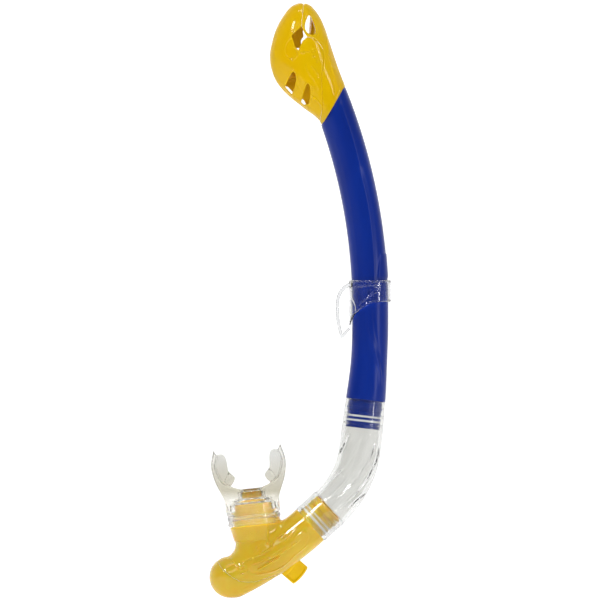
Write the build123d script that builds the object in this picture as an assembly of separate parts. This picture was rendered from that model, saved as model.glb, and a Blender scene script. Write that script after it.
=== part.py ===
from build123d import *
from math import asin, cos, degrees, radians, sin, sqrt
import os

# A dry-top snorkel, in millimetres. The tube stands upright and bends in the XZ plane, with its mouthpiece
# towards -X. The origin is the middle of the strap clip's band, and the band's swivel axis is Z.
# A tilt is an angle from the vertical, in degrees, that leans towards -X when one moves away from the clip.

# Barrel
TUBE_R = 13.0
BORE_R = 10.4
TOP_SOCKET_R = 10.6
UPPER_BEND_R = 410.0
LOWER_BEND_R = 517.0
CLIP_TILT = 1.68
LOWER_BEND_Z = -20.0
JOINT_Z = 133.2
JOINT_TILT = 59.3
FLARE_R = 14.25
FLARE_Z = -40.0

# The two push-and-turn joints between a spigot and a soft cuff
CUFF_TILT = 6.5
SPIGOT_R = 12.4
SPIGOT_FIT = 0.05
BEAD_STEP = 0.5
BEAD_WIDTH = 1.6
SEAL_DEPTH = 1.0
SEAL_WIDTH = 1.3
END_GAP = 0.1

# Elbow
UPPER_CUFF = 20.0
UPPER_SPIGOT = 20.4
ELBOW_STRAIGHT = 14.5
ELBOW_BEND_R = 68.5
ELBOW_TILT = 48.0
ELBOW_R = 15.0
ELBOW_BORE_R = 12.0
LOWER_CUFF = 18.4
LOWER_CUFF_R = 15.5
LOWER_SPIGOT = 17.0

# Housing
BODY_R = 15.0
CAVITY_R = 12.8
BODY_BEND_R = 247.0
TOE_TILT = 63.6
TOE_STRETCH = 2.2
NECK_FOOT = (-80.1, -195.2)
NECK_TILT = 6.0
NECK_LOW_R = 15.5
NECK_R = 16.0
NECK_BORE_R = 12.5
SHOULDER = (17.5, 26.5)
SHOULDER_R = 18.0
NECK_TOP = 42.0
LIP_R = 10.0
LIP_BORE_R = 8.2
LIP_TOP = 51.0
NECK_BEAD = 31.8
TOE_SEAM = ((-112.0, -190.5), (-96.0, -208.5), (-82.1, -209.4), (-60.0, -202.0))

# Purge valve, on the +Y side of the housing
PURGE_X, PURGE_Z = -69.1, -188.3
BOSS_R = 13.2
BOSS_TOP = 18.6
PORT_R = 9.4
SEAT_R = 11.2
SEAT_TOP = 17.4
FLAP_R = 8.9
FLAP_LIFT = 1.2
COVER_R = 14.6
COVER_LOW, COVER_TOP = 15.6, 21.8
TAB_ANGLE = -41.0
TAB_REACH = 26.6
TAB_WIDTH = 16.0

# Mouthpiece, in the neck's own frame: u across, v up along the neck, Y through
SLEEVE_R = 18.6
SLEEVE_LOW = 27.0
BITE_HALF_DEPTH = 12.0
TIE_LOW, TIE_WIDTH = 31.0, 3.6

# Strap clip
CLIP_BORE_R = 13.4
CLIP_R = 15.6
CLIP_LOW, CLIP_HIGH = -7.9, 7.7
HOOK_HALF_WIDTH = 6.5

# Dry top
SHELL = 2.2
SEAT_RISE = 39.0
CONDUIT_R = 9.4
CONDUIT_BORE_R = 7.4
VALVE_BORE_R = 6.6
PIVOT_X, PIVOT_H = -11.0, 4.0
PIN_R = 1.0
BAFFLE_THICK = 1.6
BAFFLE_FRONT = 2.6
BACK_BAFFLE_FRONT = 7.7
SLOT_LEAN = 10.5
VALVE_OPEN = 22.0
FLOAT_R = 5.8
FLOAT_HALF_DEPTH = 7.0
FLOAT_ROUNDING = 4.5

# Openings and baffles of the dry top, in its side view
WINDOW = ((-56.4, 183.9), (-49.6, 190.1), (-44.0, 184.0), (-48.6, 180.0), (-51.6, 173.3), (-54.0, 176.0))
FRONT_VENT = ((-61.0, 146.9), (-58.4, 153.0), (-55.8, 157.4), (-53.9, 156.4), (-53.3, 152.0), (-54.2, 147.0),
              (-56.3, 141.6))
REAR_VENT = ((-49.6, 136.0), (-47.4, 143.6), (-45.4, 148.6), (-43.8, 148.2), (-43.0, 143.6), (-43.4, 138.4),
             (-44.2, 134.6), (-47.6, 134.2))
LOWER_BAFFLE = ((-75, 150.4), (-43.8, 150.4), (-38.2, 134.5), (-38.2, 126), (-75, 126))
UPPER_BAFFLE = ((-75, 187.5), (-54.6, 190.4), (-47.6, 190.4), (-48.4, 186.4), (-47.8, 183.4), (-49.8, 180.2),
                (-49.5, 175.0), (-75, 174.4))
BACK_BAFFLE = ((-75, 160), (-50, 160), (-50, 148.5), (-75, 148.5))
FRONT_DRAIN = ((-62.0, 147.6), (-56.2, 140.6), (-55.6, 143.2), (-59.2, 147.0))
REAR_DRAIN = ((-50.4, 135.8), (-48.7, 138.4), (-47.4, 137.0), (-46.0, 134.2), (-47.0, 133.6))

# Height, left side, right side and half depth of the dry top's skin
SKIN = (
    (116.0, -32.5, -8.0, 12.4),
    (124.0, -37.6, -9.6, 13.0),
    (132.0, -48.0, -12.4, 13.6),
    (140.0, -58.0, -15.6, 14.6),
    (150.0, -66.9, -19.0, 16.0),
    (160.0, -71.0, -22.7, 16.8),
    (170.0, -72.0, -26.1, 17.0),
    (180.0, -70.3, -29.4, 16.6),
    (190.0, -66.9, -32.8, 15.2),
    (198.0, -62.4, -36.6, 12.8),
    (204.0, -57.6, -41.2, 9.0),
    (207.4, -52.8, -46.8, 4.0),
)


def at(x, z, y=0.0):
    return Vector(x, y, z)


def down(tilt):
    return Vector(-sin(radians(tilt)), 0, -cos(radians(tilt)))


def up(tilt):
    return Vector(-sin(radians(tilt)), 0, cos(radians(tilt)))


def frame(point, direction):
    """A plane whose X lies in the XZ plane, whose Y is the part's Y and whose Z is direction."""
    return Plane(origin=point, x_dir=Vector(0, 1, 0).cross(direction), z_dir=direction)


def rod(plane, low, high, radius, top_radius=None):
    """A cylinder or cone about plane's Z, between two heights."""
    place = plane * Pos(0, 0, low)
    if top_radius is None:
        return place * Cylinder(radius, high - low, align=(Align.CENTER, Align.CENTER, Align.MIN))
    return place * Cone(radius, top_radius, high - low, align=(Align.CENTER, Align.CENTER, Align.MIN))


def ring(plane, low, high, outer, inner):
    return rod(plane, low, high, outer) - rod(plane, low, high, inner)


def bent(start, tilt, end, radius):
    """A round bar on the arc that leaves start at tilt and ends at end."""
    path = TangentArc((start.X, 0, start.Z), (end.X, 0, end.Z), tangent=down(tilt))
    return sweep(frame(start, down(tilt)) * Circle(radius), path=path)


def arc_end(start, tilt, end_tilt, radius):
    """Where an arc going down from start has turned to end_tilt."""
    a, b = radians(tilt), radians(end_tilt)
    return start + Vector(-radius * (cos(a) - cos(b)), 0, -radius * (sin(b) - sin(a)))


def side_slab(lines, half_depth):
    """A closed outline in the XZ plane, as a solid that reaches half_depth to both sides."""
    return extrude(make_face(Plane.XZ * lines), amount=half_depth, both=True)


def side_polygon(points, half_depth):
    return side_slab(Polyline(*points, close=True), half_depth)


def upper_point(tilt):
    """The barrel's centre line above and at the clip."""
    a, b = radians(CLIP_TILT), radians(tilt)
    return at(-UPPER_BEND_R * (cos(a) - cos(b)), UPPER_BEND_R * (sin(b) - sin(a)))


# Stations down the tube
joint_tilt_of_tube = degrees(asin(sin(radians(CLIP_TILT)) + JOINT_Z / UPPER_BEND_R))
joint_point = upper_point(joint_tilt_of_tube)
vertical_point = upper_point(0.0)
lower_bend_start = at(vertical_point.X, LOWER_BEND_Z)
cuff_top = arc_end(lower_bend_start, 0.0, CUFF_TILT, LOWER_BEND_R)
elbow_start = cuff_top + down(CUFF_TILT) * UPPER_CUFF
elbow_bend = elbow_start + down(CUFF_TILT) * ELBOW_STRAIGHT
lower_cuff_top = arc_end(elbow_bend, CUFF_TILT, ELBOW_TILT, ELBOW_BEND_R)
body_top = lower_cuff_top + down(ELBOW_TILT) * LOWER_CUFF
toe = arc_end(body_top, ELBOW_TILT, TOE_TILT, BODY_BEND_R)

upper_joint = frame(cuff_top, down(CUFF_TILT))
lower_joint = frame(body_top, down(ELBOW_TILT) * -1)
joint_cut = frame(joint_point, up(JOINT_TILT))
seat = frame(joint_point + up(joint_tilt_of_tube) * SEAT_RISE, up(joint_tilt_of_tube))
neck = frame(at(*NECK_FOOT), up(NECK_TILT))
purge = Plane(origin=(PURGE_X, 0, PURGE_Z), x_dir=(1, 0, 0), z_dir=(0, 1, 0))
clip_axis = Plane.XY

SEAL_PLACES = {"upper": (11.2, 14.4), "lower": (4.0, 7.0)}
BEAD_PLACES = {"upper": 5.0, "lower": 12.0}


def spigot_rings(plane, joint, widen):
    """The seal grooves' or seal rings' outer form on one spigot."""
    places = SEAL_PLACES[joint]
    return [(place - widen, place + SEAL_WIDTH + widen) for place in places]


def spigot(plane, length, joint):
    """A spigot with a snap bead and two seal grooves, growing along plane's Z."""
    bead = BEAD_PLACES[joint]
    solid = rod(plane, 0, length, SPIGOT_R) + rod(plane, bead, bead + BEAD_WIDTH, SPIGOT_R + BEAD_STEP)
    for low, high in spigot_rings(plane, joint, SPIGOT_FIT):
        solid -= ring(plane, low, high, SPIGOT_R + BEAD_STEP, SPIGOT_R - SEAL_DEPTH)
    return solid


def socket(plane, length, joint):
    """The hollow of a cuff that takes such a spigot."""
    bead = BEAD_PLACES[joint]
    hollow = rod(plane, -END_GAP, length + END_GAP, SPIGOT_R + SPIGOT_FIT)
    groove = rod(plane, bead - END_GAP, bead + BEAD_WIDTH + END_GAP, SPIGOT_R + BEAD_STEP + SPIGOT_FIT)
    return hollow + groove


def seals(plane, joint):
    outer = SPIGOT_R + SPIGOT_FIT / 2
    rings = spigot_rings(plane, joint, 0)
    return [ring(plane, low, high, outer, SPIGOT_R - SEAL_DEPTH) for low, high in rings]


def make_barrel():
    top_tilt = joint_tilt_of_tube + 2.0
    top = upper_point(top_tilt)
    upper_arc = TangentArc((vertical_point.X, 0, vertical_point.Z), (top.X, 0, top.Z), tangent=(0, 0, 1))
    base = frame(vertical_point, Vector(0, 0, 1))
    outer = sweep(base * Circle(TUBE_R), path=upper_arc)
    inner = sweep(base * Circle(BORE_R), path=upper_arc)

    flare_tilt = degrees(asin((LOWER_BEND_Z - FLARE_Z) / LOWER_BEND_R))
    flare_top = arc_end(lower_bend_start, 0.0, flare_tilt, LOWER_BEND_R)
    mid_tilt = (flare_tilt + CUFF_TILT) / 2
    flare_mid = arc_end(lower_bend_start, 0.0, mid_tilt, LOWER_BEND_R)
    outer += rod(frame(vertical_point, Vector(0, 0, -1)), 0, vertical_point.Z - LOWER_BEND_Z, TUBE_R)
    outer += bent(lower_bend_start, 0.0, flare_top, TUBE_R)
    outer += loft([
        frame(flare_top, down(flare_tilt)) * Circle(TUBE_R),
        frame(flare_mid, down(mid_tilt)) * Circle(TUBE_R + 0.35 * (FLARE_R - TUBE_R)),
        upper_joint * Circle(FLARE_R),
    ])
    inner += rod(frame(vertical_point, Vector(0, 0, -1)), 0, vertical_point.Z - LOWER_BEND_Z, BORE_R)
    inner += bent(lower_bend_start, 0.0, cuff_top, BORE_R)

    solid = outer + spigot(upper_joint, UPPER_SPIGOT, "upper") - inner
    solid -= rod(upper_joint, 0, UPPER_SPIGOT, BORE_R)
    solid -= rod(seat, -SEAT_RISE - 18, 0, TOP_SOCKET_R)
    return solid - joint_cut * Box(80, 80, 40, align=(Align.CENTER, Align.CENTER, Align.MIN))


def make_elbow():
    outer = rod(upper_joint, END_GAP, UPPER_CUFF, FLARE_R - 0.1, ELBOW_R - 0.1)
    outer += rod(upper_joint, UPPER_CUFF, UPPER_CUFF + ELBOW_STRAIGHT, ELBOW_R)
    outer += bent(elbow_bend, CUFF_TILT, lower_cuff_top, ELBOW_R)
    outer += rod(lower_joint, END_GAP, LOWER_CUFF, LOWER_CUFF_R)
    inner = rod(upper_joint, UPPER_SPIGOT, UPPER_CUFF + ELBOW_STRAIGHT, ELBOW_BORE_R)
    inner += bent(elbow_bend, CUFF_TILT, lower_cuff_top, ELBOW_BORE_R)
    inner += rod(lower_joint, LOWER_SPIGOT, LOWER_CUFF, ELBOW_BORE_R)
    solid = outer - inner - socket(upper_joint, UPPER_SPIGOT, "upper")
    return solid - socket(lower_joint, LOWER_SPIGOT, "lower")


def toe_region():
    """Everything below and to the left of the toe cap's seam."""
    a, b, c, d = TOE_SEAM
    seam = ThreePointArc(a, b, c) + Line(c, d)
    rest = Polyline(d, (d[0], -240), (-140, -240), (-140, a[1]), a)
    return side_slab(seam + rest, 30)


def make_housing_shell():
    """The housing and its toe cap as one shell, before the seam parts them."""
    toe_tip = frame(toe, Vector(-1, 0, 0))
    outer = bent(body_top, ELBOW_TILT, toe, BODY_R) + Pos(toe) * Sphere(BODY_R)
    outer += rod(toe_tip, 0, TOE_STRETCH, BODY_R) + toe_tip * Pos(0, 0, TOE_STRETCH) * Sphere(BODY_R)
    outer += rod(neck, 0, SHOULDER[0], NECK_LOW_R)
    outer += rod(neck, SHOULDER[0], SHOULDER[1], NECK_LOW_R, SHOULDER_R)
    outer += rod(neck, SHOULDER[1], NECK_TOP, NECK_R)
    outer += rod(neck, NECK_BEAD, NECK_BEAD + BEAD_WIDTH, NECK_R + BEAD_STEP)
    outer += rod(neck, NECK_TOP, NECK_TOP + 4, NECK_R, LIP_R + 0.5)
    outer += rod(neck, NECK_TOP + 4, LIP_TOP, LIP_R)
    outer += rod(purge, 0, BOSS_TOP, BOSS_R)

    cavity_start = arc_end(body_top, ELBOW_TILT, ELBOW_TILT + 0.6, BODY_BEND_R)
    inner = bent(cavity_start, ELBOW_TILT + 0.6, toe, CAVITY_R) + Pos(toe) * Sphere(CAVITY_R)
    inner += rod(neck, 0, NECK_TOP - 2, NECK_BORE_R)
    inner += rod(neck, NECK_TOP - 2, NECK_TOP + 2.5, NECK_BORE_R, LIP_BORE_R)
    inner += rod(neck, NECK_TOP + 2.5, LIP_TOP, LIP_BORE_R)
    inner += rod(purge, 0, BOSS_TOP, PORT_R)
    shell = outer - inner - rod(purge, SEAT_TOP - 2.4, BOSS_TOP, SEAT_R)
    shell += spigot(lower_joint, LOWER_SPIGOT, "lower")
    return shell - rod(lower_joint, -6, LOWER_SPIGOT, BORE_R)


def make_purge_seat():
    """A ring with a hub on four spokes, which the flap closes from outside."""
    solid = ring(purge, SEAT_TOP - 2.4, SEAT_TOP, SEAT_R, 7.4) + rod(purge, SEAT_TOP - 2.4, SEAT_TOP, 2.6)
    for quarter in range(4):
        spoke = Rot(0, 0, 45 + 90 * quarter) * Pos(5, 0, SEAT_TOP - 1.2) * Box(6, 1.6, 2.4)
        solid += purge * spoke
    return solid - rod(purge, 0, SEAT_TOP, 1.25)


def make_purge_flap():
    """A disc with a stem through the seat's hub and a bulb that stops its lift."""
    solid = rod(purge, SEAT_TOP, SEAT_TOP + 0.8, FLAP_R)
    solid += rod(purge, SEAT_TOP - 2.4 - FLAP_LIFT - 0.2, SEAT_TOP, 1.2)
    return solid + rod(purge, SEAT_TOP - 6.2, SEAT_TOP - 2.4 - FLAP_LIFT - 0.1, 1.0, 2.0)


def make_purge_cover():
    """A cap over the boss, with a ring of round vents and a rimmed pull tab."""
    solid = rod(purge, COVER_LOW, COVER_TOP, COVER_R) - rod(purge, COVER_LOW, BOSS_TOP, BOSS_R + 0.05)
    solid -= rod(purge, BOSS_TOP, COVER_TOP - 1.5, PORT_R + 0.6)
    for step in range(8):
        vent = Rot(0, 0, 45 * step) * Pos(6, 0, COVER_TOP) * Cylinder(1.7, 6)
        solid -= purge * vent
    turned = purge * Rot(0, 0, -TAB_ANGLE)
    from_hub = (Align.MIN, Align.CENTER, Align.MIN)
    blank = turned * Pos(0, 0, COVER_LOW) * Box(TAB_REACH, TAB_WIDTH, 2.6, align=from_hub)
    hollow = Box(TAB_REACH - COVER_R - 4.4, TAB_WIDTH - 2.8, 0.7, align=from_hub)
    hollow = turned * Pos(COVER_R + 3, 0, COVER_LOW) * hollow
    tab = (blank & rod(purge, COVER_LOW, COVER_TOP, TAB_REACH)) - rod(purge, 0, COVER_TOP, COVER_R - 0.6)
    return solid + (tab - hollow)


def mouth_outline():
    """Half of the mouthpiece's outer edge as (u, v): the sleeve, the lip shield and its tip."""
    return ((SLEEVE_R, 41), (19.6, 46), (22.0, 52), (25.2, 60), (27.0, 69), (26.4, 76), (24.2, 83.3))


def mouth_side(points):
    """A solid from a half outline given as (u, v), mirrored across the neck's axis."""
    mirrored = [(-u, v) for u, v in reversed(points)]
    outline = Polyline(*points, *mirrored, close=True)
    across = Plane(origin=neck.origin, x_dir=neck.x_dir, z_dir=Vector(0, -1, 0))
    return extrude(make_face(across * outline), amount=BITE_HALF_DEPTH, both=True)


def make_mouthpiece():
    inner_edge = ((22.0, 79.0), (23.8, 72.0), (22.6, 65.0), (19.5, 59.0), (14.5, 56.2), (7.5, 53.4))
    shield = mouth_side(mouth_outline() + inner_edge)
    taper = neck * Pos(0, 0, 38) * extrude(
        Plane.YZ * make_face(Polyline((-12, 0), (-12, 22), (-5, 47), (5, 47), (12, 22), (12, 0), close=True)),
        amount=32, both=True)
    solid = rod(neck, SLEEVE_LOW, 43, SLEEVE_R) + (shield & taper)
    for low in (28.4, 35.6):
        solid += rod(neck, low, low + 1.4, SLEEVE_R + 0.7)
    for side in (-1, 1):
        tab = [(23.5, 60.0), (23.9, 72.0), (22.6, 79.0), (18.0, 79.9), (15.6, 76.0), (15.2, 70.5),
               (14.4, 66.5), (10.8, 61.8), (14.4, 56.6), (19.0, 58.0)]
        across = Plane(origin=neck.origin, x_dir=neck.x_dir, z_dir=Vector(0, -1, 0))
        outline = Polyline(*[(side * u, v) for u, v in tab], close=True)
        solid += extrude(make_face(across * outline), amount=2.0, both=True)
        nub = [(10.8, 61.8), (14.4, 56.6), (18.0, 60.0), (14.4, 66.5)]
        outline = Polyline(*[(side * u, v) for u, v in nub], close=True)
        solid += extrude(make_face(across * outline), amount=5.0, both=True)
    solid -= rod(neck, 0, NECK_TOP + END_GAP, NECK_R + 0.05)
    solid -= rod(neck, NECK_BEAD - END_GAP, NECK_BEAD + BEAD_WIDTH + END_GAP, NECK_R + BEAD_STEP + 0.05)
    solid -= rod(neck, NECK_TOP + END_GAP, NECK_TOP + 4 + END_GAP, NECK_R + 0.05, LIP_R + 0.55)
    solid -= rod(neck, NECK_TOP, LIP_TOP + END_GAP, LIP_R + 0.05)
    solid -= rod(neck, LIP_TOP, 70, LIP_BORE_R)
    return solid - make_tie_band(0)


def make_tie_band(spare):
    return ring(neck, TIE_LOW, TIE_LOW + TIE_WIDTH, SLEEVE_R + 0.5, SLEEVE_R - 0.6 + spare)


def make_tie():
    """A cable tie in the sleeve's groove, with its head on the +Y side."""
    head = neck * Pos(0, SLEEVE_R + 1.6, TIE_LOW + TIE_WIDTH / 2) * Box(5.0, 3.4, 5.0)
    return make_tie_band(0.0) + (head - rod(neck, 0, 60, SLEEVE_R + 0.05))


def make_clip():
    """A band round the barrel with a tongue below and an open hook that holds the strap against both."""
    band = ring(clip_axis, CLIP_LOW, CLIP_HIGH, CLIP_R, CLIP_BORE_R)
    tongue = ring(clip_axis, -24.5, CLIP_LOW, CLIP_R, CLIP_BORE_R)
    cut = ((-17, -7.9), (-1.0, -7.9), (-6.0, -12.5), (-10.4, -15.7), (-14.0, -24.5), (-17, -24.5))
    tongue &= side_polygon(cut, 30)
    strip = ((-12.4, 6.6), (-16.4, 5.2), (-20.8, 1.8), (-23.4, -2.6), (-24.6, -8.0), (-24.7, -14.0),
             (-24.2, -21.0), (-22.8, -28.0), (-20.9, -34.2), (-19.0, -33.6), (-14.3, -27.4), (-15.3, -26.2),
             (-20.0, -30.8), (-20.7, -27.6), (-21.9, -21.0), (-22.4, -14.0), (-22.3, -8.4), (-21.2, -3.6),
             (-18.9, 0.2), (-15.6, 2.8), (-12.4, 4.2))
    hook = side_polygon(strip, HOOK_HALF_WIDTH) - rod(clip_axis, -40, 40, CLIP_BORE_R)
    return band + tongue + hook


def skin(inset):
    """The dry top's outer form, or its hollow when inset is the wall's thickness."""
    sections = []
    for z, left, right, depth in SKIN:
        height = z
        if inset and z == SKIN[-1][0]:
            height = z - inset
        plane = Plane(origin=((left + right) / 2, 0, height), z_dir=(0, 0, 1))
        sections.append(plane * Ellipse((right - left) / 2 - inset, depth - inset))
    return loft(sections)


def cover_region():
    """Everything on the chamber's side of the dry top's seam."""
    seam = (Line((-47.0, 215), (-49.4, 190.8)) + Line((-49.4, 190.8), (-45.6, 183.2))
            + ThreePointArc((-45.6, 183.2), (-36.9, 178.6), (-33.0, 168.5))
            + Polyline((-33.0, 168.5), (-34.8, 153.0), (-33.9, 133.0), (-36.0, 123.6), (-38.5, 110)))
    rest = Polyline((-38.5, 110), (-90, 110), (-90, 215), (-47.0, 215))
    return side_slab(seam + rest, 30)


def slot_tool():
    """A wedge-shaped tunnel: its rear wall leans forward towards +Y."""
    edge = Spline((-44.2, 198.4), (-46.9, 190.5), (-44.6, 185.6), (-40.6, 184.6), (-39.0, 188.0),
                  (-41.2, 194.6), periodic=True)
    front = (Align.MAX, Align.CENTER, Align.CENTER)
    return side_slab(edge, 30) & (Pos(-38.8, -13, 190) * Rot(0, 0, SLOT_LEAN) * Box(40, 120, 60, align=front))


def vent_tools():
    """The window above the float and the two vents in front of it."""
    view = side_polygon(WINDOW, 30)
    front = side_slab(Spline(*FRONT_VENT[:5]) + Polyline(*FRONT_VENT[4:], FRONT_VENT[0]), 30)
    rear = side_slab(Spline(*REAR_VENT[:5]) + Polyline(*REAR_VENT[4:], REAR_VENT[0]), 30)
    return view + front + rear


def baffle(outline, front):
    """A web across the chamber that starts at depth front."""
    slab = Pos(-50, front, 160) * Box(80, BAFFLE_THICK, 100, align=(Align.CENTER, Align.MIN, Align.CENTER))
    return side_polygon(outline, 30) & skin(SHELL - 0.5) & slab & cover_region()


def make_baffles():
    """Splash baffles above, below and behind the float, with a drain slot behind each vent."""
    lower = baffle(LOWER_BAFFLE, BAFFLE_FRONT) - side_polygon(FRONT_DRAIN, 30) - side_polygon(REAR_DRAIN, 30)
    return lower + baffle(UPPER_BAFFLE, BAFFLE_FRONT) + baffle(BACK_BAFFLE, BACK_BAFFLE_FRONT)


def make_dry_base(shell):
    body = shell - cover_region() - slot_tool()
    plug = joint_cut * Box(60, 60, 2.5, align=(Align.CENTER, Align.CENTER, Align.MIN))
    body += (skin(0) & plug) - cover_region()
    body += rod(seat, -SEAT_RISE, 0, CONDUIT_R)
    body += rod(seat, -SEAT_RISE - 15, -SEAT_RISE + 3, TOP_SOCKET_R - 0.05) - joint_block()
    body -= ring(seat, -SEAT_RISE - 12.05, -SEAT_RISE - 9.95, TOP_SOCKET_R, TOP_SOCKET_R - SEAL_DEPTH)
    return body - rod(seat, -SEAT_RISE - 15, 0, CONDUIT_BORE_R)


def joint_block():
    """The space on the dry top's side of the joint, where the spigot must not widen the conduit."""
    return joint_cut * Box(60, 60, 20, align=(Align.CENTER, Align.CENTER, Align.MIN))


def make_top_seal():
    return ring(seat, -SEAT_RISE - 12.0, -SEAT_RISE - 10.0, TOP_SOCKET_R - 0.01, TOP_SOCKET_R - SEAL_DEPTH)


def make_valve_seat():
    """A ring on the conduit's end, with the raised rim that the flap closes and two ears for the pin."""
    solid = rod(seat, -5, 1.5, CONDUIT_R + 0.9) + rod(seat, 1.5, 2.3, VALVE_BORE_R + 1.1)
    for side in (-1, 1):
        ear = Pos(-7.0, side * 9.5, 2.4) * Box(13.2, 1.8, 8.0)
        solid += seat * ear
    solid -= rod(seat, -5, 0, CONDUIT_R) + rod(seat, 0, 2.3, VALVE_BORE_R)
    return solid - pivot_rod(PIN_R, 12)


def pivot_rod(radius, half_length):
    axis = seat * Pos(PIVOT_X, 0, PIVOT_H) * Rot(90, 0, 0)
    return axis * Cylinder(radius, 2 * half_length)


def opened(solid):
    """Turns a piece of the float valve from shut to its rest, which is open."""
    pivot = (seat * Pos(PIVOT_X, 0, PIVOT_H)).position
    return solid.rotate(Axis(pivot, (0, 1, 0)), -VALVE_OPEN)


def make_seal_disc():
    solid = rod(seat, 2.35, 3.75, VALVE_BORE_R + 1.8)
    solid += rod(seat, 3.75, 5.2, 1.2) + rod(seat, 5.2, 6.6, 2.0, 0.9)
    return opened(solid)


def float_line():
    """The pivot, the middle of the float's upper end, and the direction from one to the other."""
    pivot = (seat * Pos(PIVOT_X, 0, PIVOT_H)).position
    top = at(-59.4, 162.4)
    return pivot, top, (top - pivot).normalized()


def make_float_arm():
    plate = rod(seat, 3.75, 5.2, 7.2)
    plate += seat * Pos(PIVOT_X / 2, 0, 4.475) * Box(-PIVOT_X, 9, 1.45)
    solid = opened(plate - rod(seat, 3, 6, 1.2)) + pivot_rod(2.4, 8.4)
    pivot, top, way = float_line()
    shank = frame(pivot, way)
    solid += shank * Pos(0, 0, 1.8) * Box(2.4, 6, 3.6)
    solid += rod(shank, 0, 8.0, 1.5)
    return solid - pivot_rod(PIN_R + 0.05, 12)


def make_float():
    pivot, top, way = float_line()
    bottom = at(-58.3, 157.8)
    outline = SlotCenterToCenter((top - bottom).length, 2 * FLOAT_R)
    middle = (top + bottom) * 0.5
    across = Plane(origin=middle, x_dir=(top - bottom).normalized(), z_dir=(0, -1, 0))
    solid = extrude(across * outline, amount=FLOAT_HALF_DEPTH, both=True)
    ends = solid.faces().filter_by(Axis.Y)
    solid = fillet(ends.edges(), FLOAT_ROUNDING)
    return solid - rod(frame(pivot, way), 0, 8.4, 1.5)


shell = skin(0) - skin(SHELL) - joint_cut * Box(120, 80, 60, align=(Align.CENTER, Align.CENTER, Align.MAX))
housing_shell = make_housing_shell()
toe_side = toe_region()

nodes = {
    "barrel": make_barrel(),
    "dry_top_base": make_dry_base(shell),
    "dry_top_cover": (shell & cover_region()) - vent_tools() + make_baffles(),
    "dry_top_seal": make_top_seal(),
    "valve_seat": make_valve_seat(),
    "pivot_pin": pivot_rod(PIN_R, 10.4),
    "float_arm": make_float_arm(),
    "float": make_float(),
    "seal_disc": make_seal_disc(),
    "strap_clip": make_clip(),
    "upper_joint_seals": seals(upper_joint, "upper"),
    "elbow": make_elbow(),
    "lower_joint_seals": seals(lower_joint, "lower"),
    "housing": housing_shell - toe_side,
    "toe_cap": housing_shell & toe_side,
    "purge_seat": make_purge_seat(),
    "purge_flap": make_purge_flap(),
    "purge_cover": make_purge_cover(),
    "mouthpiece": make_mouthpiece(),
    "mouthpiece_tie": make_tie(),
}

os.makedirs("parts", exist_ok=True)
for name, shape in nodes.items():
    if isinstance(shape, list):
        shape = Compound(children=shape)
    shape.label = name
    export_step(shape, f"parts/{name}.step")
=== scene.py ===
import math

import bpy
import numpy as np
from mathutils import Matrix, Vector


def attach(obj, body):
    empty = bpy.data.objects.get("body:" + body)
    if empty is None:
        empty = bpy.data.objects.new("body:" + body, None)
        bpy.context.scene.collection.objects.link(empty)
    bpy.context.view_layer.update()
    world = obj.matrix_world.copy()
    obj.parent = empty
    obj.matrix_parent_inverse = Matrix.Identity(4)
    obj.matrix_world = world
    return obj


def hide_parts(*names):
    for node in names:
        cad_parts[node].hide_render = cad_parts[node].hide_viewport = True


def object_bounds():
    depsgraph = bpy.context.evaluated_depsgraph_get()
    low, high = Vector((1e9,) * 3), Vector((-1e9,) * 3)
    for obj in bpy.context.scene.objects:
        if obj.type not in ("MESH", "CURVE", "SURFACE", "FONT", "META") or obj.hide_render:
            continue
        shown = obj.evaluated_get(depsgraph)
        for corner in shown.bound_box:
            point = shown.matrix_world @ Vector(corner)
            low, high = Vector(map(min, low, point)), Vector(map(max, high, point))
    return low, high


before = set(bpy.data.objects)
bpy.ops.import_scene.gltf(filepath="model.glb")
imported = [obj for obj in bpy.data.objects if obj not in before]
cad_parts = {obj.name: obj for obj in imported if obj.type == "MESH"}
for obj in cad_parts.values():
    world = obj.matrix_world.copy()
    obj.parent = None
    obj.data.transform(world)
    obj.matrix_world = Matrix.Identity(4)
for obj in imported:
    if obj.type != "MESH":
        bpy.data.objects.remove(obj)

import openvdb as vdb

# Shapes are worked out in millimetres, in the frame of the part: Z up along the tube, which bends in the
# XZ plane with its mouthpiece towards -X. A tilt is an angle from the vertical that leans towards -X when
# moving away from the clip. Meshes are in metres.
CAD_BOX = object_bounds()
MM = 0.001

# The tube's centre line, as in the part
UPPER_BEND_R = 410.0
LOWER_BEND_R = 517.0
CLIP_TILT = math.radians(1.68)
LOWER_BEND_Z = -20.0
JOINT_Z = 133.2
JOINT_TILT = math.radians(59.3)
CUFF_TILT = math.radians(6.5)
UPPER_CUFF = 20.0
UPPER_SPIGOT = 20.4
ELBOW_STRAIGHT = 14.5
ELBOW_BEND_R = 68.5
ELBOW_TILT = math.radians(48.0)
LOWER_CUFF = 18.4
BODY_BEND_R = 247.0
TOE_TILT = math.radians(63.6)
TOE_STRETCH = 2.2
NECK_FOOT = (-80.1, -195.2)
NECK_TILT = math.radians(6.0)
PURGE_X, PURGE_Z = -69.1, -188.3

# Radii and heights
TUBE_R = 13.0
FLARE_R = 14.25
BORE_R = 10.4
SPIGOT_R = 12.4
ELBOW_R = 15.0
ELBOW_BORE_R = 12.0
LOWER_CUFF_R = 15.5
BODY_R = 15.0
CAVITY_R = 12.8
SHELL = 2.2
SEAT_RISE = 39.0
CONDUIT_R = 9.4
CONDUIT_BORE_R = 7.4
TOP_SOCKET_R = 10.6
CLIP_R, CLIP_BORE_R = 15.6, 13.4
BOSS_R, PORT_R, SEAT_R, COVER_R = 13.2, 9.4, 11.2, 14.6
NECK_R, LIP_R, LIP_BORE_R, SLEEVE_R = 16.0, 10.0, 8.2, 18.6
NECK_SHOULDER, NECK_CONE, NECK_TOP = 42.1, 46.1, 51.1
TIE_HEIGHT = 32.8

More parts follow.
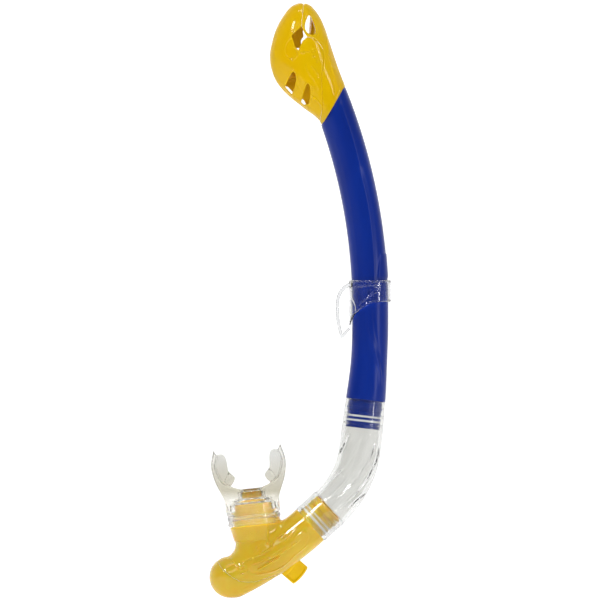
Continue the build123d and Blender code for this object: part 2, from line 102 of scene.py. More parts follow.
# Height, left side, right side and half depth of the dry top
SKIN = np.array((
    (108.0, -29.0, -7.0, 12.0),
    (116.0, -32.5, -8.0, 12.4),
    (124.0, -37.6, -9.6, 13.0),
    (132.0, -48.0, -12.4, 13.6),
    (140.0, -58.0, -15.6, 14.6),
    (150.0, -66.9, -19.0, 16.0),
    (160.0, -71.0, -22.7, 16.8),
    (170.0, -72.0, -26.1, 17.0),
    (180.0, -70.3, -29.4, 16.6),
    (190.0, -66.9, -32.8, 15.2),
    (198.0, -62.4, -36.6, 12.8),
    (204.0, -57.6, -41.2, 9.0),
    (208.6, -51.8, -46.0, 4.0),
))


# ------------------------------ points and directions

def down(tilt):
    return np.array((-math.sin(tilt), -math.cos(tilt)))


def up(tilt):
    return np.array((-math.sin(tilt), math.cos(tilt)))


def arc_end(start, tilt, end_tilt, radius):
    """Where an arc going down from start (x, z) has turned to end_tilt."""
    across = math.cos(tilt) - math.cos(end_tilt)
    return start + radius * np.array((-across, -(math.sin(end_tilt) - math.sin(tilt))))


TUBE_TILT = math.asin(math.sin(CLIP_TILT) + JOINT_Z / UPPER_BEND_R)
joint_point = np.array((-UPPER_BEND_R * (math.cos(CLIP_TILT) - math.cos(TUBE_TILT)), JOINT_Z))
vertical_point = np.array((-UPPER_BEND_R * (math.cos(CLIP_TILT) - 1), -UPPER_BEND_R * math.sin(CLIP_TILT)))
lower_bend_start = np.array((vertical_point[0], LOWER_BEND_Z))
cuff_top = arc_end(lower_bend_start, 0.0, CUFF_TILT, LOWER_BEND_R)
elbow_start = cuff_top + down(CUFF_TILT) * UPPER_CUFF
elbow_bend = elbow_start + down(CUFF_TILT) * ELBOW_STRAIGHT
lower_cuff_top = arc_end(elbow_bend, CUFF_TILT, ELBOW_TILT, ELBOW_BEND_R)
body_top = lower_cuff_top + down(ELBOW_TILT) * LOWER_CUFF
toe = arc_end(body_top, ELBOW_TILT, TOE_TILT, BODY_BEND_R)
seat_point = joint_point + up(TUBE_TILT) * SEAT_RISE


# ------------------------------ distance fields

def union(a, b, soft=0.0):
    """The nearer of two fields, with a fillet as wide as soft."""
    if soft == 0:
        return np.minimum(a, b)
    near = np.maximum(soft - np.abs(a - b), 0) / soft
    return np.minimum(a, b) - near * near * soft / 4


def both(a, b, soft=0.0):
    return -union(-a, -b, soft)


def cut(a, b, soft=0.0):
    return both(a, -b, soft)


def ease(value, low, high):
    """0 below low, 1 above high and a smooth step between them."""
    t = np.clip((value - low) / (high - low), 0, 1)
    return t * t * (3 - 2 * t)


def smooth_line(points, closed=False, parts=8):
    """Points of a smooth curve through a few given ones."""
    p = np.array(points, float)
    if closed:
        p = np.vstack((p[-1:], p, p[:2]))
    else:
        p = np.vstack((2 * p[0] - p[1], p, 2 * p[-1] - p[-2]))
    t = np.linspace(0, 1, parts, endpoint=False)[:, None]
    line = []
    for a, b, c, d in zip(p, p[1:], p[2:], p[3:]):
        bend = (2 * a - 5 * b + 4 * c - d) * t**2 + (3 * b - a - 3 * c + d) * t**3
        line.append(0.5 * (2 * b + (c - a) * t + bend))
    line = np.vstack(line)
    if not closed:
        line = np.vstack((line, p[-2:-1]))
    return line


def line_distance(u, v, points):
    """Distance from (u, v) to an open line, and how far along the line (0 to 1) its nearest point is."""
    points = np.asarray(points, float)
    lengths = np.hypot(*(points[1:] - points[:-1]).T)
    starts = np.concatenate(([0], np.cumsum(lengths)))
    best, place = None, None
    for (ax, ay), (bx, by), length, start in zip(points, points[1:], lengths, starts):
        t = np.clip(((u - ax) * (bx - ax) + (v - ay) * (by - ay)) / length**2, 0, 1)
        away = np.hypot(u - ax - (bx - ax) * t, v - ay - (by - ay) * t)
        here = (start + t * length) / starts[-1]
        if best is None:
            best, place = away, here
        else:
            place = np.where(away < best, here, place)
            best = np.minimum(best, away)
    return best, place


def outline(u, v, points):
    """Signed distance from (u, v) to a closed outline, negative inside it."""
    points = np.asarray(points, float)
    ring = np.vstack((points, points[:1]))
    inside = np.zeros(np.broadcast(u, v).shape, bool)
    for (ax, ay), (bx, by) in zip(ring, ring[1:]):
        if ay != by:
            inside ^= ((ay > v) != (by > v)) & (u < (bx - ax) * (v - ay) / (by - ay) + ax)
    away = line_distance(u, v, ring)[0]
    return np.where(inside, -away, away)


def ridges(u, v, lines, fade=0.12, rise=1.0, slim=1.0):
    """The sum of rounded ridges along smooth lines. Each line has its points, height and width, and fades
    over the same share of its length at both ends. A negative height is a groove."""
    total = 0 * (u + v)
    for points, height, width in lines:
        away, place = line_distance(u, v, smooth_line(points))
        ends = ease(place, 0, fade) * ease(1 - place, 0, fade)
        total = total + rise * height * np.exp(-(away / (slim * width)) ** 2) * ends
    return total


def bead(away, width):
    """A rounded bead on a line that is away from here."""
    return np.exp(-(away / width) ** 2)


def sampled(function, low, high, step=0.2):
    """A slow function of two coordinates, as a look-up on a fine grid."""
    counts = [int((b - a) / step) + 2 for a, b in zip(low, high)]
    u = low[0] + step * np.arange(counts[0])[:, None]
    v = low[1] + step * np.arange(counts[1])[None, :]
    table = np.asarray(function(u, v)) + np.zeros((counts[0], counts[1]))

    def look_up(u, v):
        u, v = np.broadcast_arrays(u, v)
        i = np.clip((u - low[0]) / step, 0, counts[0] - 1.001)
        j = np.clip((v - low[1]) / step, 0, counts[1] - 1.001)
        i0, j0 = i.astype(int), j.astype(int)
        i, j = i - i0, j - j0
        lower = table[i0, j0] * (1 - i) + table[i0 + 1, j0] * i
        upper = table[i0, j0 + 1] * (1 - i) + table[i0 + 1, j0 + 1] * i
        return lower * (1 - j) + upper * j

    return look_up


def sampled_outline(points, low, high, step=0.2):
    return sampled(lambda u, v: outline(u, v, points), low, high, step)


def shifted(x, z, point, direction):
    """How far (x, z) lies along a direction from a point, and how far across, positive towards +X."""
    dx, dz = x - point[0], z - point[1]
    along = dx * direction[0] + dz * direction[1]
    across = dx * direction[1] - dz * direction[0]
    return along, across


def bent_rod(x, y, z, start, tilt, end_tilt, radius):
    """Distance to the centre line of an arc that goes down from start."""
    centre = start + radius * np.array((-math.cos(tilt), math.sin(tilt)))
    dx, dz = x - centre[0], z - centre[1]
    angle = np.clip(np.arctan2(-dz, dx), tilt, end_tilt)
    away_x = dx - radius * np.cos(angle)
    away_z = dz + radius * np.sin(angle)
    return np.sqrt(away_x**2 + away_z**2 + y**2)


# ------------------------------ meshes

def finish_mesh(name, points, faces, material, body, nodes, sharp=None):
    """A Blender object that rides on a body and stands for CAD nodes."""
    mesh = bpy.data.meshes.new(name)
    mesh.vertices.add(len(points))
    mesh.vertices.foreach_set("co", (np.asarray(points) * MM).astype(np.float32).ravel())
    mesh.loops.add(faces.size)
    mesh.loops.foreach_set("vertex_index", faces.astype(np.int32).ravel())
    mesh.polygons.add(len(faces))
    mesh.polygons.foreach_set("loop_start", np.arange(0, faces.size, faces.shape[1], dtype=np.int32))
    mesh.update(calc_edges=True)
    mesh.validate()
    mesh.polygons.foreach_set("use_smooth", np.ones(len(mesh.polygons), bool))
    if sharp:
        mesh.set_sharp_from_angle(angle=math.radians(sharp))
    mesh.materials.append(material)
    piece = bpy.data.objects.new(name, mesh)
    bpy.context.scene.collection.objects.link(piece)
    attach(piece, body)
    if nodes:
        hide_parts(*nodes)
    return piece


def surface(field, low, high, step):
    """Points and quads of the surface where a field is zero, inside a box."""
    low = np.array(low, float)
    step = step
    counts = np.ceil((np.array(high) - low) / step).astype(int) + 1
    x, y, z = (low[i] + step * np.arange(counts[i]) for i in range(3))
    values = field(x[:, None, None], y[None, :, None], z[None, None, :])
    values = np.clip(values, -3 * step, 3 * step).astype(np.float32)
    grid = vdb.FloatGrid(3 * step)
    grid.copyFromArray(np.ascontiguousarray(values))
    points, quads = grid.convertToQuads()
    points = points.astype(float) * step + low
    small = 0.05
    for _ in range(3):
        value = field(*points.T)
        slope = [(field(*(points + small * np.eye(3)[i]).T) - value) / small for i in range(3)]
        slope = np.stack(slope, axis=1)
        steep = np.maximum((slope**2).sum(axis=1), 0.2)
        points -= slope * np.clip(value / steep, -0.6 * step, 0.6 * step)[:, None]
    corner = [points[quads[:, i]] for i in range(4)]
    middle = (corner[0] + corner[2]) / 2 - points.mean(axis=0)
    volume = (np.cross(corner[2] - corner[0], corner[3] - corner[1]) * middle).sum()
    if volume < 0:
        quads = quads[:, ::-1]
    return points, quads


def field_piece(name, field, low, high, step, material, body, nodes=()):
    points, quads = surface(field, low, high, step)
    return finish_mesh(name, points, quads, material, body, nodes)


def tube_piece(name, profile, place, relief, material, body, node, spokes=160):
    """A tube along a bent line: profile is a closed loop of (station, radius), place gives the line."""
    theta = np.linspace(0, 2 * np.pi, spokes, endpoint=False)
    station = np.array([p[0] for p in profile], float)[:, None] + 0 * theta
    radius = np.array([p[1] for p in profile], float)[:, None] + 0 * theta
    station, radius = relief(station, radius, theta + 0 * station)
    x, z, lean = place(station)
    across = radius * np.cos(theta)
    points = (x + across * np.cos(lean), -radius * np.sin(theta), z - across * np.sin(lean))
    points = np.stack(points, axis=-1)
    index = np.arange(len(profile) * spokes).reshape(-1, spokes)
    below, beside = np.roll(index, -1, axis=0), np.roll(index, -1, axis=1)
    faces = np.stack((index, beside, np.roll(below, -1, axis=1), below), axis=-1).reshape(-1, 4)
    return finish_mesh(name, points.reshape(-1, 3), faces, material, body, [node], sharp=38)


# ------------------------------ materials

def new_material(name):
    material = bpy.data.materials.new(name)
    material.use_nodes = True
    nodes = material.node_tree.nodes
    return material, nodes, material.node_tree.links, nodes["Principled BSDF"]


def noise(nodes, links, scale, detail=3.0, stretch=(1, 1, 1)):
    """Noise over the object's own coordinates, in metres."""
    place = nodes.new("ShaderNodeTexCoord")
    size = nodes.new("ShaderNodeMapping")
    size.inputs["Scale"].default_value = stretch
    texture = nodes.new("ShaderNodeTexNoise")
    texture.inputs["Scale"].default_value = scale
    texture.inputs["Detail"].default_value = detail
    links.new(place.outputs["Object"], size.inputs["Vector"])
    links.new(size.outputs["Vector"], texture.inputs["Vector"])
    return texture.outputs["Fac"]


def spread(nodes, links, source, low, high):
    """Takes a noise's middle range to low..high."""
    node = nodes.new("ShaderNodeMapRange")
    node.inputs["From Min"].default_value = 0.3
    node.inputs["From Max"].default_value = 0.7
    node.inputs["To Min"].default_value = low
    node.inputs["To Max"].default_value = high
    links.new(source, node.inputs["Value"])
    return node.outputs["Result"]


def tint(nodes, links, source, first, second):
    node = nodes.new("ShaderNodeMix")
    node.data_type = "RGBA"
    node.inputs["A"].default_value = (*first, 1)
    node.inputs["B"].default_value = (*second, 1)
    links.new(source, node.inputs["Factor"])
    return node.outputs["Result"]


def bump(nodes, links, shader, source, depth, strength=1.0, under=None):
    node = nodes.new("ShaderNodeBump")
    node.inputs["Strength"].default_value = strength
    node.inputs["Distance"].default_value = depth * MM
    links.new(source, node.inputs["Height"])
    if under:
        links.new(under.outputs["Normal"], node.inputs["Normal"])
    links.new(node.outputs["Normal"], shader.inputs["Normal"])
    return node


def mix_in(nodes, links, shader, other):
    """Mixes another shader into a material's main one, and gives the node that holds their shares."""
    mix = nodes.new("ShaderNodeMixShader")
    links.new(shader.outputs["BSDF"], mix.inputs[1])
    links.new(other.outputs["BSDF"], mix.inputs[2])
    links.new(mix.outputs["Shader"], nodes["Material Output"].inputs["Surface"])
    return mix


def moulded(name, first, second, rough=(0.2, 0.32), grain=0.02, wave=0.12, through=None, **values):
    """Moulded plastic: two tones in soft flow marks, uneven gloss, fine grain and slight sink marks.

    through is the share of the light that passes through a thin wall, and its colour.
    """
    material, nodes, links, shader = new_material(name)
    flow = spread(nodes, links, noise(nodes, links, 45, 4, (1, 1, 0.35)), 0, 1)
    links.new(tint(nodes, links, flow, first, second), shader.inputs["Base Color"])
    links.new(spread(nodes, links, noise(nodes, links, 260, 5), *rough), shader.inputs["Roughness"])
    sink = bump(nodes, links, shader, noise(nodes, links, 60, 2), wave, 0.35)
    bump(nodes, links, shader, noise(nodes, links, 2600, 2), grain, 0.5, sink)
    for key, value in values.items():
        shader.inputs[key.replace("_", " ")].default_value = value
    if through:
        passing = nodes.new("ShaderNodeBsdfTranslucent")
        passing.inputs["Color"].default_value = (*through[1], 1)
        mix_in(nodes, links, shader, passing).inputs["Fac"].default_value = through[0]
    return material


def blue_pvc():
    return moulded("blue pvc", (0.0005, 0.021, 0.235), (0.0005, 0.016, 0.195), (0.30, 0.33), wave=0.02,
                   Specular_IOR_Level=0.2)


def yellow_abs_painted_glow():
    # The faint amber emission is a painted glow: it stands in for light that passes through the thin yellow
    # shell and lights its inside and baffles.
    return moulded("yellow abs", (0.87, 0.53, 0.0), (0.84, 0.56, 0.0), (0.07, 0.13), wave=0.03,
                   through=(0.38, (0.92, 0.88, 0.25)), Specular_IOR_Level=0.3,
                   Emission_Color=(0.9, 0.55, 0, 1), Emission_Strength=0.05)


def tab_yellow():
    return moulded("tab yellow", (0.90, 0.66, 0.004), (0.88, 0.58, 0.003), (0.1, 0.2), wave=0.05,
                   Specular_IOR_Level=0.35, Subsurface_Weight=0.1, Subsurface_Scale=0.003)


def mustard_pvc():
    return moulded("mustard pvc", (0.67, 0.455, 0.03), (0.61, 0.40, 0.02), (0.03, 0.08), wave=0.06,
                   Subsurface_Weight=0.55, Subsurface_Scale=0.006, IOR=1.45, Specular_IOR_Level=0.45)


def clear(name, first, second, rough, haze, wave=0.12, ior=1.45):
    """See-through plastic or silicone, with a little milky haze. It casts next to no shadow."""
    material, nodes, links, glass = new_material(name)
    flow = spread(nodes, links, noise(nodes, links, 70, 3, (1, 1, 0.4)), 0, 1)
    links.new(tint(nodes, links, flow, first, second), glass.inputs["Base Color"])
    glass.inputs["Transmission Weight"].default_value = 1 - haze
    glass.inputs["IOR"].default_value = ior
    links.new(spread(nodes, links, noise(nodes, links, 300, 4), *rough), glass.inputs["Roughness"])
    sink = bump(nodes, links, glass, noise(nodes, links, 90, 2), wave, 0.5)
    bump(nodes, links, glass, noise(nodes, links, 1800, 2), 0.01, 0.3, sink)
    path = nodes.new("ShaderNodeLightPath")
    passing = nodes.new("ShaderNodeBsdfTransparent")
    passing.inputs["Color"].default_value = (0.97, 0.97, 0.97, 1)
    links.new(path.outputs["Is Shadow Ray"], mix_in(nodes, links, glass, passing).inputs["Fac"])
    return material


def clear_pvc():
    return clear("clear pvc", (0.81, 0.81, 0.79), (0.76, 0.76, 0.735), (0.02, 0.07), 0.005)


def clear_clip():
    return clear("clear clip", (0.82, 0.825, 0.83), (0.78, 0.785, 0.79), (0.02, 0.06), 0.005)


def mouth_silicone():
    """Clear silicone: nearly colourless in the thin sleeve, deepest at the flange's thick root."""
    material = clear("mouth silicone", (1, 1, 1), (0.93, 0.92, 0.90), (0.08, 0.16), 0.05, ior=1.41)
    nodes, links = material.node_tree.nodes, material.node_tree.links
    glass = nodes["Principled BSDF"]
    uneven = glass.inputs["Base Color"].links[0].from_socket
    place = nodes.new("ShaderNodeTexCoord")
    split = nodes.new("ShaderNodeSeparateXYZ")
    height = nodes.new("ShaderNodeMapRange")
    height.inputs["From Min"].default_value = -0.153
    height.inputs["From Max"].default_value = -0.118
    tones = nodes.new("ShaderNodeValToRGB")
    tones.color_ramp.elements[0].color = (0.95, 0.94, 0.89, 1)
    tones.color_ramp.elements[1].color = (0.73, 0.73, 0.70, 1)
    tones.color_ramp.elements.new(0.25).color = (0.58, 0.55, 0.44, 1)
    mix = nodes.new("ShaderNodeMix")
    mix.data_type = "RGBA"
    mix.blend_type = "MULTIPLY"
    mix.inputs["Factor"].default_value = 1
    links.new(place.outputs["Object"], split.inputs["Vector"])
    links.new(split.outputs["Z"], height.inputs["Value"])
    links.new(height.outputs["Result"], tones.inputs["Fac"])
    links.new(tones.outputs["Color"], mix.inputs["A"])
    links.new(uneven, mix.inputs["B"])
    links.new(mix.outputs["Result"], glass.inputs["Base Color"])
    return material


def soft_silicone():
    return clear("soft silicone", (0.88, 0.88, 0.86), (0.84, 0.84, 0.82), (0.3, 0.45), 0.6, ior=1.41)


def tie_nylon():
    return clear("tie nylon", (0.96, 0.96, 0.95), (0.93, 0.93, 0.92), (0.05, 0.12), 0.02)


def seal_rubber():
    return moulded("seal rubber", (0.74, 0.74, 0.72), (0.68, 0.68, 0.66), (0.4, 0.55), wave=0.05)


def float_amber():
    return moulded("float amber", (0.72, 0.40, 0.01), (0.66, 0.34, 0.008), (0.4, 0.55), grain=0.05,
                   Subsurface_Weight=0.2, Subsurface_Scale=0.004)


def grey_pin():
    return moulded("pin acetal", (0.55, 0.55, 0.53), (0.48, 0.48, 0.46), (0.3, 0.42), wave=0.03)


# ------------------------------ barrel

UPPER_ARC = UPPER_BEND_R * TUBE_TILT
PLAIN_RUN = UPPER_ARC + vertical_point[1] - LOWER_BEND_Z
BARREL_END = PLAIN_RUN + LOWER_BEND_R * CUFF_TILT


def place_on_barrel(station):
    """The barrel's centre line, from the joint with the dry top down to the spigot's end."""
    tilt = np.clip(TUBE_TILT - station / UPPER_BEND_R, 0, None)
    lean = np.clip((station - PLAIN_RUN) / LOWER_BEND_R, 0, CUFF_TILT)
    x = -UPPER_BEND_R * (math.cos(CLIP_TILT) - np.cos(tilt)) - LOWER_BEND_R * (1 - np.cos(lean))
    z = UPPER_BEND_R * (np.sin(tilt) - math.sin(CLIP_TILT))
    z = z - np.clip(station - UPPER_ARC, 0, PLAIN_RUN - UPPER_ARC) - LOWER_BEND_R * np.sin(lean)
    past = np.clip(station - BARREL_END, 0, None)
    return x - past * math.sin(CUFF_TILT), z - past * math.cos(CUFF_TILT), np.where(tilt > 0, -tilt, lean)


# Relief lines on the barrel's sides: station, share of the half width, then height and width
BARREL_LINES = (
    (((4, 6.0), (30, 5.7), (49, 5.2)), 0.42, 1.1),
    (((48, 4.4), (78, 5.0), (118, 3.7), (140, 2.2)), 0.34, 1.0),
    (((12, -6.5), (70, -7.2), (130, -7.6), (200, -8.0)), 0.16, 1.2),
    (((150, -2.0), (162, -1.0), (172, 1.4), (182, 4.6), (192, 8.0), (206, 9.4)), 0.36, 0.8),
    (((148, 1.6), (163, 3.2), (172, 5.0), (186, 8.4), (198, 10.2)), -0.26, 0.9),
    (((146, -4.2), (176, -3.0), (210, 0.8)), 0.14, 0.9),
    (((168, 1.0), (190, 1.6), (212, 4.2)), -0.14, 0.8),
    (((60, 1.2), (100, 0.2), (134, -1.6)), -0.12, 1.2),
)


def barrel_profile():
    ribs = [(0.0, 0.0), (1.0, -0.35), (1.9, -0.35), (2.3, 0), (4.9, 0), (5.0, 0.5), (6.5, 0.5), (6.6, 0),
            (8.0, 0), (8.3, -0.4), (9.1, -0.4), (9.4, 0), (11.1, 0), (11.2, -1), (12.5, -1), (12.6, 0),
            (14.3, 0), (14.4, -1), (15.7, -1), (15.8, 0), (17.2, 0), (17.3, -0.3), (18.0, -0.3), (18.1, 0),
            (20.1, -0.1), (20.4, -0.4)]
    outer = [(s, TUBE_R) for s in np.linspace(0, BARREL_END - 0.8, 190)]
    outer += [(BARREL_END - 0.35, TUBE_R), (BARREL_END - 0.08, TUBE_R - 0.15), (BARREL_END, TUBE_R - 0.45)]
    spigot = [(BARREL_END + a, SPIGOT_R + b) for a, b in ribs]
    inner = [(s, BORE_R) for s in np.linspace(BARREL_END + UPPER_SPIGOT, 0.8, 60)]
    return outer + spigot + inner + [(0.25, BORE_R + 0.4)]


def barrel_relief(station, radius, theta):
    side = np.cos(theta)
    outside = (radius > SPIGOT_R + 0.05) & (station < BARREL_END + 0.01)
    flare_start, flare_end = BARREL_END - 38, BARREL_END + 6
    flare = ease(station, flare_start, flare_end) / ease(BARREL_END, flare_start, flare_end)
    lift = (FLARE_R - TUBE_R) * flare**1.3 + ridges(station, side * TUBE_R, BARREL_LINES, fade=0.1)
    pad = outline(station, side * TUBE_R, ((110, 9.5), (112, 20), (127.6, 20), (127.6, 6), (118, 7.2)))
    lift = lift + 0.5 * ease(-pad, -0.3, 0.5)
    rim = 1 - ease(station, 0.6, 2.2)
    radius = np.where(outside, radius + lift - 0.35 * rim * (1 - 0.5 * rim), radius)
    slide = radius * side * math.tan(JOINT_TILT - TUBE_TILT)
    top = np.clip(1 - station / 26, 0, 1)
    return station - slide * top, radius


def make_barrel(material):
    return tube_piece("barrel_skin", barrel_profile(), place_on_barrel, barrel_relief, material, "tube",
                      "barrel")


# ------------------------------ elbow

ELBOW_ARC = UPPER_CUFF + ELBOW_STRAIGHT + ELBOW_BEND_R * (ELBOW_TILT - CUFF_TILT)
ELBOW_END = ELBOW_ARC + LOWER_CUFF


def place_on_elbow(station):
    first = UPPER_CUFF + ELBOW_STRAIGHT
    lean = CUFF_TILT + np.clip((station - first) / ELBOW_BEND_R, 0, ELBOW_TILT - CUFF_TILT)
    straight = np.clip(station, None, first)
    past = np.clip(station - ELBOW_ARC, 0, None)
    x = cuff_top[0] - straight * math.sin(CUFF_TILT) - ELBOW_BEND_R * (math.cos(CUFF_TILT) - np.cos(lean))
    z = cuff_top[1] - straight * math.cos(CUFF_TILT) - ELBOW_BEND_R * (np.sin(lean) - math.sin(CUFF_TILT))
    return x - past * math.sin(ELBOW_TILT), z - past * math.cos(ELBOW_TILT), lean


# The same on the elbow, from the upper cuff down
ELBOW_LINES = (
    (((22, 1.0), (34, -3.0), (52, -8.2), (66, -12.8)), 0.45, 0.8),
    (((22, 6.0), (38, 2.0), (58, -2.0), (82, -5.6)), 0.5, 0.7),
    (((26, 11.5), (42, 8.4), (60, 3.4), (80, -1.4)), 0.45, 0.8),
    (((30, 14.0), (46, 12.4), (62, 9.0), (82, 5.0)), 0.5, 0.7),
    (((24, -9.0), (34, -12.0), (42, -14.4)), 0.55, 0.7),
    (((40, 14.6), (46, 12.0), (56, 10.6)), 0.6, 0.5),
    (((62, 14.6), (68, 11.4), (76, 9.8)), 0.6, 0.5),
    (((36, -1.0), (50, -3.0), (60, -6.6)), -0.4, 0.8),
    (((44, 5.4), (60, 0.6), (74, -2.6)), -0.4, 0.8),
)


def elbow_profile():
    top = [(0.1, 13.9), (0.35, 14.15)] + [(s, 14.15 + 0.0375 * s) for s in (4, 8, 10.6)]
    top += [(10.9, 14.3), (11.5, 14.3), (11.8, 14.6), (14, 14.68), (17, 14.78), (17.3, 14.5), (17.9, 14.5),
            (18.2, 14.85)]
    middle = [(s, ELBOW_R) for s in np.linspace(20, ELBOW_ARC - 0.6, 90)]
    cuff = [(ELBOW_ARC - 0.2, 15.05), (ELBOW_ARC, 15.35), (ELBOW_ARC + 0.3, LOWER_CUFF_R)]
    groove = ((0, 0), (0.3, -0.3), (0.8, -0.3), (1.1, 0))
    for low in (2.6, 5.0, 7.4, 9.8, 12.2, 14.6):
        cuff += [(ELBOW_ARC + low + a, LOWER_CUFF_R + b) for a, b in groove]
    cuff += [(ELBOW_END - 0.5, LOWER_CUFF_R), (ELBOW_END - 0.2, LOWER_CUFF_R - 0.15), (ELBOW_END - 0.1, 15.2)]
    fit = SPIGOT_R + 0.05
    lower = [(ELBOW_END - 0.1, fit), (ELBOW_END - 11.8, fit), (ELBOW_END - 11.9, fit + 0.5),
             (ELBOW_END - 13.7, fit + 0.5), (ELBOW_END - 13.8, fit), (ELBOW_END - 17.1, fit),
             (ELBOW_END - 17.1, ELBOW_BORE_R)]
    bore = [(s, ELBOW_BORE_R) for s in np.linspace(ELBOW_ARC, 21.5, 50)]
    upper = [(20.5, ELBOW_BORE_R), (20.5, fit), (6.8, fit), (6.7, fit + 0.5), (4.9, fit + 0.5), (4.8, fit),
             (0.1, fit)]
    return top + middle + cuff + lower + bore + upper


def elbow_relief(station, radius, theta):
    side = np.cos(theta)
    outside = radius > 13.5
    lift = ridges(station, side * ELBOW_R, ELBOW_LINES, fade=0.15, rise=1.7)
    between_cuffs = ease(station, 19, 23) * (1 - ease(station, ELBOW_ARC - 3, ELBOW_ARC - 0.5))
    return station, np.where(outside, radius + np.clip(lift, -0.9, 0.95) * between_cuffs, radius)


def make_elbow(material):
    return tube_piece("elbow_skin", elbow_profile(), place_on_elbow, elbow_relief, material, "elbow",
                      "elbow", spokes=192)


# ------------------------------ dry top

def skin(x, y, z):
    """The dry top's outer form: ellipses whose sides follow the table."""
    height = SKIN[:, 0]
    slopes = np.gradient(SKIN[:, 1:], height, axis=0)

    def value_at(z, column):
        z = np.clip(z, height[0], height[-1] - 1e-6)
        i = np.clip(np.searchsorted(height, z, side="right") - 1, 0, len(height) - 2)
        span = height[i + 1] - height[i]
        t = (z - height[i]) / span
        a, b = SKIN[i, column], SKIN[i + 1, column]
        da, db = slopes[i, column - 1] * span, slopes[i + 1, column - 1] * span
        return a + t * (da + t * (3 * (b - a) - 2 * da - db + t * (2 * (a - b) + da + db)))

    def ellipse(z):
        left, right, depth = (value_at(z, column) for column in (1, 2, 3))
        return (left + right) / 2, (right - left) / 2, depth

    def radius(middle, width, depth):
        return np.sqrt(((x - middle) / width) ** 2 + (y / depth) ** 2)

    middle, width, depth = ellipse(z)
    here = np.maximum(radius(middle, width, depth), 0.05)
    rise = (radius(*ellipse(z + 0.25)) - radius(*ellipse(z - 0.25))) / 0.5
    level = (((x - middle) / width**2) ** 2 + (y / depth**2) ** 2) / here**2
    return (here - 1) / np.sqrt(level + rise**2 + 1e-9)


def joint_height(x, z):
    """How far a point is on the dry top's side of the oblique joint."""
    return shifted(x, z, joint_point, up(JOINT_TILT))[0]


SEAM = np.vstack((
    [(-47.0, 215), (-49.4, 190.8), (-45.6, 183.2)],
    smooth_line([(-45.6, 183.2), (-40.9, 181.6), (-36.9, 178.6), (-34.1, 174.2), (-33.0, 168.5)])[1:],
    [(-34.8, 153.0), (-33.9, 133.0), (-36.0, 123.6), (-38.5, 100)],
))
SLOT = smooth_line([(-44.2, 198.4), (-46.9, 190.5), (-44.6, 185.6), (-40.6, 184.6), (-39.0, 188.0),
                    (-41.2, 194.6)], closed=True)
WINDOW = [(-56.4, 183.9), (-49.6, 190.1), (-44.0, 184.0), (-48.6, 180.0), (-51.6, 173.3), (-54.0, 176.0)]
VENTS = (
    np.vstack((smooth_line([(-61.0, 146.9), (-58.4, 153.0), (-55.8, 157.4), (-53.9, 156.4), (-53.3, 152.0)]),
               [(-54.2, 147.0), (-56.3, 141.6)])),
    np.vstack((smooth_line([(-49.6, 136.0), (-47.4, 143.6), (-45.4, 148.6), (-43.8, 148.2), (-43.0, 143.6)]),
               [(-43.4, 138.4), (-44.2, 134.6), (-47.6, 134.2)])),
)
LOBE = smooth_line([(-56.6, 182.6), (-59.8, 179.2), (-61.4, 175.0), (-60.8, 169.8), (-58.0, 166.8),
                    (-55.0, 167.0), (-52.4, 170.2), (-53.0, 175.0), (-54.8, 179.0)], closed=True)
CREASE = np.array([(-72.0, 160.2), (-62.0, 155.6), (-52.6, 148.4), (-42.8, 141.0), (-34.0, 132.7)])
SEAM_GAP = 0.05
SLOT_LEAN = (math.cos(math.radians(10.5)), math.sin(math.radians(10.5)))
FRONT_STEPS = (
    [(-61.6, 145.2), (-57.4, 140.0), (-60.0, 137.2), (-65.6, 142.0)],
    [(-50.6, 134.2), (-45.2, 131.6), (-48.0, 128.0), (-53.6, 131.4)],
)
BUBBLES = ((-40.9, 173.6, 1.15), (-41.0, 169.2, 0.85), (-38.4, 165.6, 0.65))
TOP_LINES = (
    (((-51.0, 173.4), (-47.6, 172.6), (-43.0, 172.4)), 0.3, 0.7),
    (((-47.0, 164.0), (-44.0, 158.0), (-39.0, 150.5), (-36.5, 144)), 0.3, 0.9),
    (((-31.3, 186.0), (-30.0, 176.0), (-28.6, 165.0), (-24.0, 150.0), (-20.0, 141.0)), 0.45, 0.8),
    (((-30.6, 170.0), (-27.4, 157.0), (-25.2, 148.0), (-24.6, 139.0)), -0.35, 0.9),
    (((-27.0, 172.0), (-22.2, 157.2), (-17.2, 147.0)), -0.4, 1.1),
    (((-66.0, 184.0), (-68.4, 176.0), (-68.6, 166.0)), 0.2, 1.4),
    (((-56.6, 166.4), (-54.6, 167.4), (-52.6, 169.6), (-51.4, 172.0)), 0.6, 0.6),
    (((-50.3, 171.6), (-47.2, 171.2)), 0.5, 0.55),
    (((-52.4, 148.5), (-50.2, 146.0), (-47.9, 143.4)), 0.55, 0.5),
    (((-42.6, 140.6), (-38.4, 137.6), (-33.7, 132.2)), 0.6, 0.5),
    (((-42.4, 162.3), (-39.0, 158.0), (-37.1, 153.0)), 0.35, 0.6),
    (((-28.8, 162.8), (-22.8, 157.7)), 0.35, 0.45),
)
TOP_LOW, TOP_HIGH = (-76, 104), (-4, 212)


def seam_side(x, z):
    """Signed distance to the seam, negative on the cover's side."""
    region = np.vstack((SEAM, [(-95, 100), (-95, 215)]))
    return outline(x, z, region)


def crease(x, z, seam):
    """How deep the cover is pressed in below its crease, fading towards both ends and downwards."""
    below = (np.interp(x, CREASE[:, 0], CREASE[:, 1]) - z) * 0.78
    depth = ease(below, -0.35, 0.45) * (1 - ease(below, 4, 9))
    return depth * (seam < -0.5) * ease(-34 - x, 0, 3) * ease(x + 58, 0, 6)


